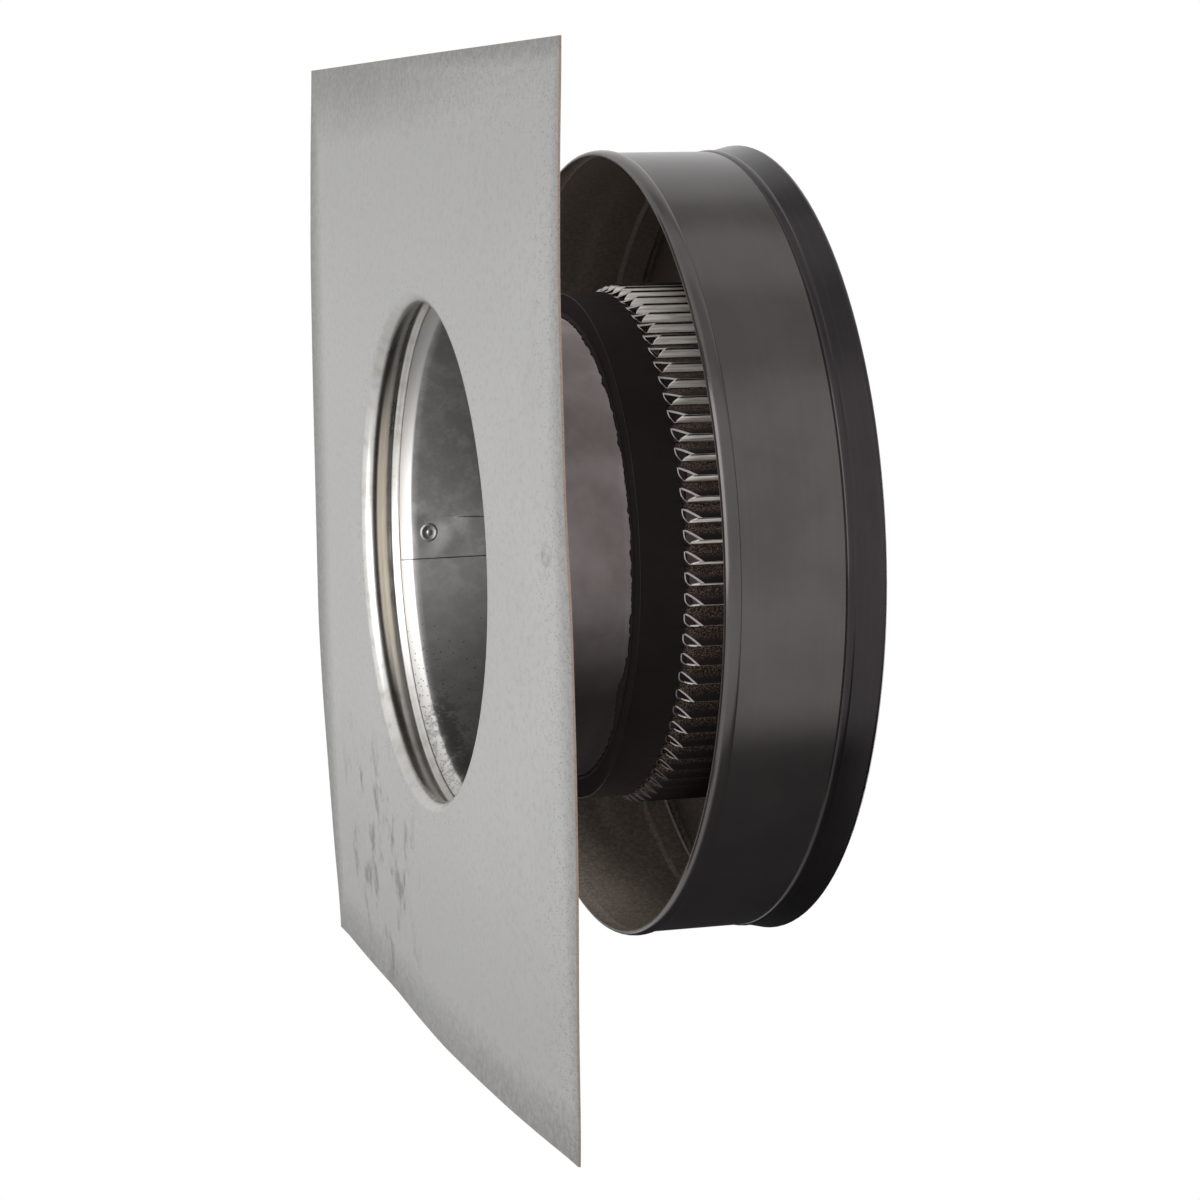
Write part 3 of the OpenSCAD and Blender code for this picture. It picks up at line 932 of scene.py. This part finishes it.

# %% [markdown]
# ### Collar finish
#
# The same sheet carries two finishes. The side that faces the axis is bare, and dark specks
# of drifted spray sit on its lower half. Both sides also carry painted light: inside, a painted
# highlight on the flared foot and a wall kept dark as painted reflection and shade; outside, a
# light grey that is a painted reflection above and painted shade below. A second material would
# need the mesh cut in two; the radial part of the normal tells the sides apart instead.

# %% Collar finish


def collar_bare_and_painted_light(tree, place):
    """Colour of the bare inside: cloudy grey kept dark as a painted reflection of the dark interior,
    a painted highlight on the flared foot with painted shade at its top, painted shade on the lower
    wall above it, specks of drifted spray and a smear of soot low down."""
    _, _, y, z = polar(tree, place)
    rolled = use_group(tree, ROLLED, Place=place, Fine=260.0)
    # The dark grey of the bare wall is a painted reflection of the dark interior that it mirrors.
    bare = mix_colour(tree, rolled.outputs["Clouds"], (0.13, 0.127, 0.123), (0.24, 0.235, 0.228))
    grey = noise(tree, place, 130.0, 5.0, 0.7)
    bare = mix_colour(tree, remap(tree, grey, 0.40, 0.68, 0.0, 0.45), bare, (0.32, 0.312, 0.30))
    # The light flared foot is a painted highlight, darker at its top as painted shade.
    upper = remap(tree, y, 0.015, 0.090, 0.0, 0.75)
    flared = mix_colour(tree, upper, (0.70, 0.69, 0.67), (0.20, 0.197, 0.19))
    bare = mix_colour(tree, remap(tree, z, 0.0225, 0.0215), bare, flared)
    # Painted shade on the lower wall above the foot.
    shade = product(tree, remap(tree, y, 0.01, -0.04, 0.0, 0.62), remap(tree, z, 0.0218, 0.024))
    bare = mix_colour(tree, shade, bare, (0.075, 0.073, 0.071))
    drift = product(tree, remap(tree, y, -0.030, -0.075), remap(tree, z, 0.060, 0.026), 0.8)
    dots = use_group(tree, SPECKS, Place=place, Size=620.0, Amount=drift)
    bare = mix_colour(tree, product(tree, dots.outputs["Mask"], 0.85), bare, (0.05, 0.045, 0.04))
    soot = product(
        tree,
        remap(tree, y, -0.066, -0.080),
        remap(tree, z, 0.038, 0.027),
        remap(tree, z, 0.0205, 0.0235, 0.45, 1.0),
    )
    lump = math_node(tree, "ADD", noise(tree, place, 240.0, 6.0, 0.8), product(tree, soot, 0.16))
    soot = product(tree, soot, remap(tree, lump, 0.57, 0.63), 0.75)
    return mix_colour(tree, soot, bare, (0.055, 0.050, 0.046))


def collar_spray_and_painted_light(tree, place):
    """Colour of the sprayed outside: a light streaked grey above that is a painted reflection in
    the gloss, and painted shade that makes the lower half nearly black.
    """
    _, _, y, _ = polar(tree, place)
    streaks = noise(tree, place, 26.0, 5.0, 0.6)
    # The light grey is a painted reflection in the glossy spray; the nearly black lower half is painted
    # shade.
    spray = mix_colour(tree, remap(tree, streaks, 0.35, 0.70), (0.325, 0.28, 0.273), (0.50, 0.437, 0.437))
    return mix_colour(tree, remap(tree, y, 0.005, -0.056, 0.0, 0.94), spray, (0.035, 0.031, 0.030))


def collar_finish():
    """Bare metal where the surface faces the axis, sprayed paint where it faces out; both colours
    hold painted light.
    """
    material, tree, shader, place = start_material("collar two finishes", 0.3, 0.0)
    outside = remap(tree, facing_out(tree), -0.12, 0.12)
    bare = collar_bare_and_painted_light(tree, place)
    spray = collar_spray_and_painted_light(tree, place)
    fine = noise(tree, place, 900.0, 2.0)
    link(tree, mix_colour(tree, outside, bare, spray), shader.inputs["Base Color"])
    link(tree, remap(tree, outside, 0.0, 1.0, 1.0, 0.4), shader.inputs["Metallic"])
    link(tree, remap(tree, outside, 0.0, 1.0, 0.44, 0.32), shader.inputs["Roughness"])
    bump(tree, shader, fine, 0.04, 0.0002)
    return material


collar.data.materials.append(collar_finish())
mark_sharp(collar, 30)
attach(collar, "root")
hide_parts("collar")
print("collar dressed")

# %% [markdown]
# ### The rivet on the lap
#
# The head's face has a turned ring and a small centre, left by the tool that set it. A plain
# button hides that, so the whole rivet is one turned profile, from the centre of the face
# over the ring, the shank and the tail, laid along the collar's radius.

# %% Lap rivet


def lap_rivet():
    """Profile of distance from the rivet's axis and height above the lap, turned about the radius
    at the rivet's angle. Points that meet on the axis are merged."""
    across = np.array([0, 0.6, 0.9, 1.4, 2.4, 2.9, 3.5, 4.0, 4.2, 4.2, 1.6, 1.6, 2.6, 2.3, 0])
    rise = np.array([1.0, 0.97, 0.76, 0.70, 0.76, 0.98, 1.0, 0.8, 0.35, -0.1, -0.1, -2.0, -2.0, -3.1, -3.3])
    around = 64
    turn = even_angles(around)[:, None]
    face = np.interp(RIVET_Z, [FLARE_Z, CONE_TOP_Z], [THROAT_R, COLLAR_TOP_IN]) - 0.2
    inward = face - rise[None, :] * np.ones_like(turn)
    sideways = across[None, :] * np.cos(turn)
    upward = RIVET_Z + across[None, :] * np.sin(turn)
    x = inward * np.cos(RIVET_ANGLE) - sideways * np.sin(RIVET_ANGLE)
    y = inward * np.sin(RIVET_ANGLE) + sideways * np.cos(RIVET_ANGLE)
    count = len(across)
    i, j = np.meshgrid(np.arange(around), np.arange(count - 1), indexing="ij")
    here = i * count + j
    there = (i + 1) % around * count + j
    faces = np.stack([here, there, there + 1, here + 1], -1).reshape(-1, 4)
    piece = mesh_from("lap_rivet", np.stack([x, y, upward], -1) * MM, faces)
    shape = bmesh.new()
    shape.from_mesh(piece.data)
    bmesh.ops.remove_doubles(shape, verts=shape.verts, dist=1e-7)
    bmesh.ops.recalc_face_normals(shape, faces=shape.faces)
    shape.to_mesh(piece.data)
    shape.free()
    return piece


rivet = lap_rivet()
rivet.data.materials.append(BARE)
mark_sharp(rivet, 30)
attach(rivet, "root")
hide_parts("collar_rivet")
print("rivet faces:", len(rivet.data.polygons))

# %% [markdown]
# ## Sealant
#
# A black bead closes the corner under the drum's ring. It was smeared by hand, so its lower
# edge is ragged and hangs lower on one side. A clean fillet would look machined; here the
# fillet's width is a sum of waves round the axis.

# %% Sealant shape


def sealant_bead():
    """Fillet of varying width: a thin skin down the collar and a short foot along the ring."""
    angle = even_angles(1440)
    low_side = np.exp(-(((angle - np.radians(212)) / 0.14) ** 2))
    width = 0.5 + 1.4 * np.clip(np.sin(angle), 0, 1) ** 3 + 2.0 * low_side
    width += 0.42 * ragged(angle, 5, [61, 97, 139, 191, 263, 331])
    width += 0.9 * np.clip(ragged(angle, 9, [23, 41, 67, 103, 151]), 0, 1)
    width = np.clip(width, 0.3, 5.5)[:, None]
    top = RING_Z - 0.25
    drop = np.array([0.0, 0.35, 0.7, 0.92, 1.0, 1.0, 0.8, 0.4, 0.0])[None, :]
    out = np.array([1.6, 1.25, 0.95, 0.8, 0.45, 0.06, 0.06, 0.06, 0.06])[None, :]
    height = top - width * drop
    below_top = np.clip(CONE_TOP_Z - height, 0, None)
    skin = COLLAR_TOP_R + below_top * (THROAT_R - COLLAR_TOP_IN) / (CONE_TOP_Z - FLARE_Z)
    return revolve("sealant_bead", skin + out, height, angle)


def sealant_finish():
    """Black rubbery paste: even colour with a lumpy bump and a dull gloss."""
    material, tree, shader, place = start_material("black sealant", 0.8, 0.0, 0.05)
    lumps = noise(tree, place, 420.0, 3.0)
    black = mix_colour(tree, lumps, (0.014, 0.012, 0.012), (0.027, 0.0235, 0.0225))
    link(tree, black, shader.inputs["Base Color"])
    bump(tree, shader, lumps, 0.5, 0.0006)
    return material


sealant = sealant_bead()
sealant.data.materials.append(sealant_finish())
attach(sealant, "root")
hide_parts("sealant")
print("sealant faces:", len(sealant.data.polygons))

# %% [markdown]
# ## Louvre drum
#
# The drum is one strip: eighty blades are lanced out of it, each a web, a slope out to the tip
# and a fold back in. The fold and the cut ends stay bare, because the spray never reaches
# them, and these light lines draw the louvres in the dark. A drum cut by a boolean would be
# slow and rough, so each blade is one small closed section carried up the drum.

# %% Blade section
LOUVRES = 80
LOUVRE_Z = RING_Z + 18.4
LOUVRE_LEN = 48.0
TURN = np.radians(-1.4)
ROOT_R = DRUM_R - 1.2
TIP_R = DRUM_R + 2.95
PITCH = TAU * ROOT_R / LOUVRES
SHEET = 0.6
WEB_W = 0.3 * PITCH
FOOT_Y = PITCH - 0.4
TIP_Y = FOOT_Y - 0.85
RAMP = 6.2
FOOT_START = 2.7


def leg(a, b, count, margin=0.14):
    """Points along a straight leg of the blade's section, kept a small margin from its corners so
    that each corner is a narrow bevel."""
    a, b = np.array(a, float), np.array(b, float)
    inset = margin / np.linalg.norm(b - a)
    return a + (b - a) * np.linspace(inset, 1 - inset, count)[:, None]


def section():
    """Outer path of one blade, as radius and distance round the drum: web, slope, fold."""
    web = leg((ROOT_R, -0.14), (ROOT_R + 0.85, WEB_W), 3)
    slope = leg((ROOT_R + 0.85, WEB_W), (TIP_R, TIP_Y), 8)
    fold = leg((TIP_R, TIP_Y), (ROOT_R, FOOT_Y + 0.14), 7)
    return np.vstack([web, slope, fold]), len(web), len(web) + len(slope)


def offset(path, thickness):
    """The path moved inwards by the sheet's thickness, along the normal at each point."""
    step = np.gradient(path, axis=0)
    step /= np.linalg.norm(step, axis=1, keepdims=True)
    return path - thickness * np.column_stack([step[:, 1], -step[:, 0]])


print("points in the outer path:", len(section()[0]))

# %% [markdown]
# ### From section to blade
#
# Carried straight up, the section would end in square steps. On the real drum a blade begins
# later where it stands further out, which leaves a three-cornered window at each end. So each
# point of the section gets its own start, and a few rows close to each end keep it crisp.

# %% One blade as a mesh


def blade_start(path, first_slope, first_fold):
    """Where each point of the path begins: nothing on the web, a ramp up the slope that starts
    with a round corner, and a curve back down the fold."""
    start = np.full(len(path), -0.6)
    rise = np.clip((path[:, 1] - WEB_W) / (TIP_Y - WEB_W), 0, 1)
    out = np.clip((path[:, 0] - ROOT_R) / (TIP_R - ROOT_R), 0, 1)
    start[first_slope:first_fold] = RAMP * rise[first_slope:first_fold] ** 0.82
    start[first_fold:] = FOOT_START + (RAMP - FOOT_START) * out[first_fold:] ** 1.8
    return start


def blade_arrays():
    """Points, faces and bare mask of one blade before it is turned to its place. The loop of the
    section is carried along z, and its ends are closed by strips between outer and inner path."""
    outer, first_slope, first_fold = section()
    start = blade_start(outer, first_slope, first_fold)
    loop = np.vstack([outer, offset(outer, SHEET)[::-1]])
    begin = np.concatenate([start, start[::-1]])
    count = len(outer)
    inset = np.array([0.0, 0.82, 0.92, 6.0])
    low = begin[None, :] + inset[:, None]
    high = LOUVRE_LEN - begin[None, :] - inset[::-1, None]
    z = np.vstack([low, high])
    rows, columns = z.shape
    points = np.concatenate([np.broadcast_to(loop, (rows, columns, 2)), z[:, :, None]], 2)
    i, j = np.meshgrid(np.arange(rows - 1), np.arange(columns), indexing="ij")
    here = i * columns + j
    there = i * columns + (j + 1) % columns
    side = np.stack([here, there, there + columns, here + columns], -1).reshape(-1, 4)
    k = np.arange(count - 1)
    cap = np.stack([k, columns - 1 - k, columns - 2 - k, k + 1], -1)
    far = cap[:, ::-1] + (rows - 1) * columns
    on_fold = (np.arange(columns) >= first_fold) & (np.arange(columns) < count)
    on_slope = (np.arange(columns) >= first_slope) & (np.arange(columns) < count)
    near_end = np.array([1, 1, 0, 0, 0, 0, 1, 1], bool)[:, None]
    bare = np.maximum(on_fold[None, :] * 1.0, (near_end & on_slope[None, :]) * 0.55)
    cut = np.zeros_like(bare)
    cut[[0, -1], :] = 0.45
    return points, np.vstack([side, cap, far]), np.maximum(bare, cut * (begin > -0.5))


blade_points, blade_faces, blade_bare = blade_arrays()
print("faces in one blade:", len(blade_faces))

# %% [markdown]
# ### The plain bands
#
# Below and above the louvres the strip stays whole, but its edge isn't straight: it climbs to
# the foot of each blade, where the cut ends in a round corner. A plain cylinder would leave
# open wedges there, so each band is a loop of two walls whose edge follows the cuts. The blades
# are one section turned eighty times.

# %% The plain bands


def band_edge(y):
    """Edge of the plain band above its foot line: level under the web, then a round corner that
    climbs to the foot of the fold and stays there over the slit."""
    return FOOT_START * np.clip((y - WEB_W) / (FOOT_Y - WEB_W), 0, 1) ** 4


def band_arrays(low, upward):
    """Loop of outer and inner wall for each angle, with the edge towards the blades shaped."""
    local = np.array([0.0, 0.8, 1.6, 2.4, 2.6, 3.4, 4.2, 4.9, 5.5, 6.0, 6.5, 6.9, 7.3, 7.6, 7.9, 8.15])
    angle = (TURN + TAU / LOUVRES * np.arange(LOUVRES)[:, None] + local[None, :] / ROOT_R).ravel()
    edge = np.tile(band_edge(local), LOUVRES)
    window = np.tile((local > 2.5) & (local < 8.1), LOUVRES)
    back = np.array([17.0, 12.0, 6.0, 1.5, 0.50, 0.42, 0.0])
    z = np.where(back[None, :] > 1, -back[None, :] * np.ones((len(angle), 1)), edge[:, None] - back[None, :])
    wall = DRUM_R - 0.9 * ease(z, 0.4, 2.2)
    bare = window[:, None] * (back[None, :] < 0.45) * 0.45
    radius = np.hstack([wall, wall[:, ::-1] - SHEET])
    height = np.hstack([z, z[:, ::-1]])
    mask = np.hstack([bare, bare[:, ::-1] * 0])
    height = np.where(height < -1, height * low / back[0], height)
    height = LOUVRE_Z + height if upward else LOUVRE_Z + LOUVRE_LEN - height
    return angle, radius, height, mask


def band(name, low, upward):
    """A plain band as a piece with its bare mask; the upper band is the lower one mirrored."""
    angle, radius, height, mask = band_arrays(low, upward)
    if not upward:
        radius, height, mask = radius[:, ::-1], height[:, ::-1], mask[:, ::-1]
    piece = revolve(name, radius, height, angle)
    set_mask(piece, "bare", mask)
    return piece


def blades():
    """All eighty blades in one mesh: the same points turned by each blade's angle."""
    turn = TURN + TAU / LOUVRES * np.arange(LOUVRES)[:, None, None]
    x, y = blade_points[None, :, :, 0], blade_points[None, :, :, 1]
    z = np.broadcast_to(blade_points[None, :, :, 2] + LOUVRE_Z, (LOUVRES,) + blade_points.shape[:2])
    points = np.stack([x * np.cos(turn) - y * np.sin(turn), x * np.sin(turn) + y * np.cos(turn), z], -1) * MM
    each = blade_points.shape[0] * blade_points.shape[1]
    faces = (blade_faces[None] + each * np.arange(LOUVRES)[:, None, None]).reshape(-1, 4)
    piece = mesh_from("louvre_blades", points, faces)
    set_mask(piece, "bare", np.tile(blade_bare.ravel(), LOUVRES))
    return piece


louvre_pieces = [blades(), band("drum_low_band", 18.4, True), band("drum_top_band", 15.1, False)]
print("louvre faces:", [len(p.data.polygons) for p in louvre_pieces])

# %% [markdown]
# ### Drum finish
#
# The paint is dry and brown-black, with lighter brown grain near each root. Where the mask
# stored on the mesh says bare, the metal shows with a tan cast and small scratches; low down
# the bare metal fades into the paint as painted shade.

# %% Drum finish


def bare_share_shaded_low(tree, place):
    """Mask of bare metal from the number stored on the mesh, left out at the very tips and faded
    low down as painted shade, and the part of it that lies on the folds."""
    mask = tree.nodes.new("ShaderNodeAttribute")
    mask.attribute_name = "bare"
    stored = mask.outputs["Fac"]
    radius, _, y, _ = polar(tree, place)
    folded = remap(tree, stored, 0.6, 0.9)
    hidden = product(tree, folded, remap(tree, radius, 0.1079, 0.1083))
    bare = math_node(tree, "SUBTRACT", remap(tree, stored, 0.18, 0.42), hidden, clamp=True)
    # Painted shade: the bare metal fades into the paint low down.
    strong = product(tree, remap(tree, stored, 0.46, 0.54), remap(tree, y, -0.092, -0.062, 0.1, 1.0))
    kept = largest(tree, strong, remap(tree, y, -0.072, -0.012, 0.10, 1.0))
    return product(tree, bare, kept), folded


def drum_finish():
    """Dry dark spray with lighter grain near the roots, turned to bare metal by the mask on the mesh."""
    material, tree, shader, place = start_material("drum spray and bare folds", 0.7, 0.0, 0.08)
    bare, folded = bare_share_shaded_low(tree, place)
    radius, _, _, z = polar(tree, place)
    clouds = noise(tree, place, 60.0, 4.0)
    paint = mix_colour(tree, clouds, (0.010, 0.0080, 0.0078), (0.016, 0.0128, 0.0124))
    grain = noise(tree, place, 1900.0, 3.0, 0.7)
    root_grain = product(
        tree,
        remap(tree, grain, 0.47, 0.66),
        remap(tree, radius, 0.1080, 0.1052),
        remap(tree, z, 0.0805, 0.083),
        0.85,
    )
    paint = mix_colour(tree, root_grain, paint, (0.20, 0.145, 0.112))
    scuffs = noise(tree, stretched(tree, place, (900, 900, 60)), 1.0, 3.0)
    metal = mix_colour(tree, remap(tree, scuffs, 0.35, 0.65), (0.62, 0.56, 0.50), (0.97, 0.93, 0.88))
    metal = mix_colour(tree, folded, (0.48, 0.43, 0.44), metal)
    link(tree, mix_colour(tree, bare, paint, metal), shader.inputs["Base Color"])
    link(tree, product(tree, bare, 0.15), shader.inputs["Metallic"])
    link(tree, remap(tree, scuffs, 0.3, 0.7, 0.30, 0.42), shader.inputs["Roughness"])
    bump(tree, shader, grain, 0.08, 0.0002)
    return material


DRUM = drum_finish()
for piece in louvre_pieces:
    piece.data.materials.append(DRUM)
    mark_sharp(piece, 25)
    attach(piece, "root")
    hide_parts("louvre_drum")
print("drum dressed")

# %% [markdown]
# ## Carried solids
#
# The hood, its cap, the two rings and the rivets already have the right shape in the CAD, so
# they stay as they are and only take a finish.

# %% Carried nodes
for node_name, material in (
    ("base_rivets", BARE),
    ("base_ring", RING),
    ("drum_rivets", RING),
    ("top_ring", RING),
    ("skirt", HOOD),
    ("skirt_rivets", HOOD),
    ("cap", CAP),
    ("cap_rivets", CAP),
):
    node = nodes[node_name]
    node.data.materials.clear()
    node.data.materials.append(material)
print("carried nodes dressed")

# %% [markdown]
# ## View settings
#
# The colours have to come out as they were mixed, so the view transform is Standard; a film
# curve would shift the darks and the whites.

# %% View settings
bpy.context.scene.view_settings.view_transform = "Standard"
